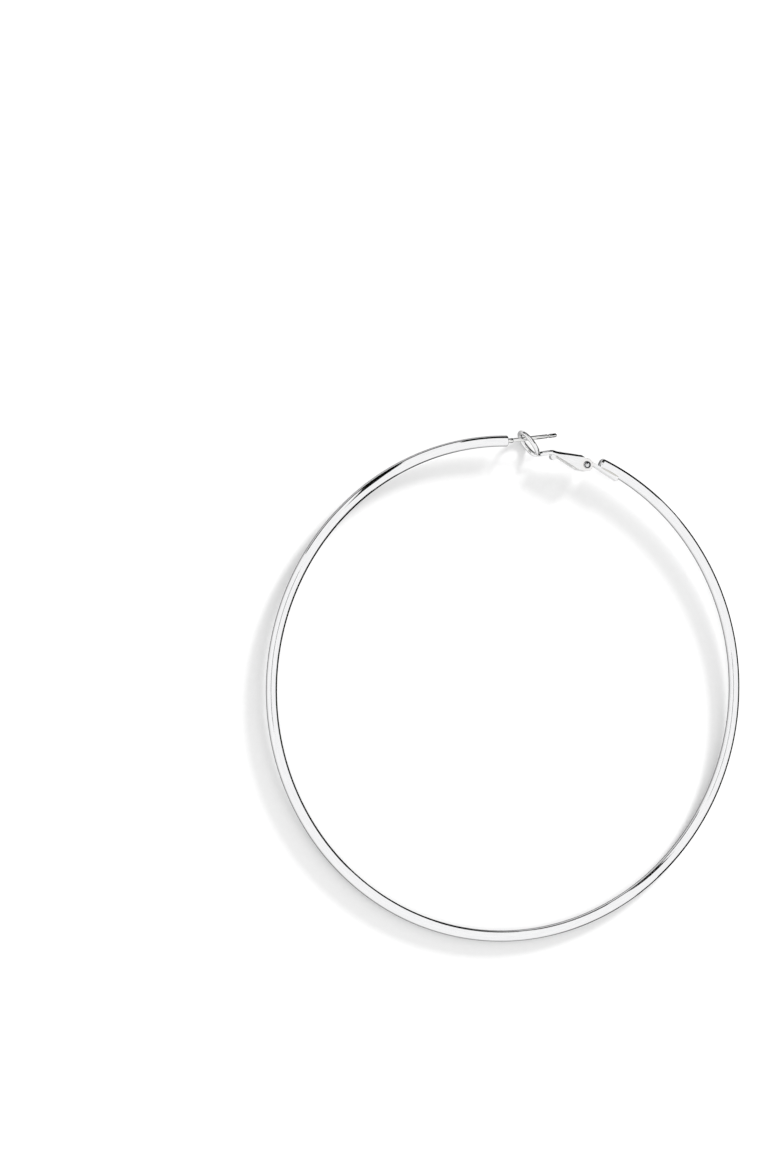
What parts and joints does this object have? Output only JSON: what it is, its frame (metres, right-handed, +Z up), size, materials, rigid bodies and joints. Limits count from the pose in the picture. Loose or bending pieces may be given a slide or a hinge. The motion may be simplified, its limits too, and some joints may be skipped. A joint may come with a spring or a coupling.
{
  "type": "hoop earring",
  "caption": "Large thin round-wire hoop earring with a straight ear post and a hinged omega clip that closes over the post, lying on its side.",
  "frame": {"origin": "on the table, under the middle of the bounding box, about 0.7 mm from the hoop's centre towards the clasp", "axes": "+Z is up, away from the table that the hoop lies on and close to the hoop's own axis; +Y runs from the hoop's centre to the middle of its gap and the clasp; +X runs from the post's end of the wire to the hinge's end"},
  "size_m": [0.1022, 0.1038, 0.006],
  "materials": {
    "plated_wire": "mirror-polished silver-tone plating on brass",
    "plated_clip": "polished silver-tone plating on stamped brass",
    "rivet_metal": "polished silver-tone rivet with domed heads"
  },
  "bodies": {
    "hoop": {"hoop": "plated_wire"},
    "clip": {"omega_clip": "plated_clip", "hinge_rivet": "rivet_metal"}
  },
  "joints": [
    {"name": "clip_hinge", "type": "hinge", "parent": "hoop", "child": "clip", "pos_m": [0.00728, 0.04715, 0.00294], "axis": [-0.0022, 0.0189, -0.9998], "range_deg": [0, 95]}
  ]
}
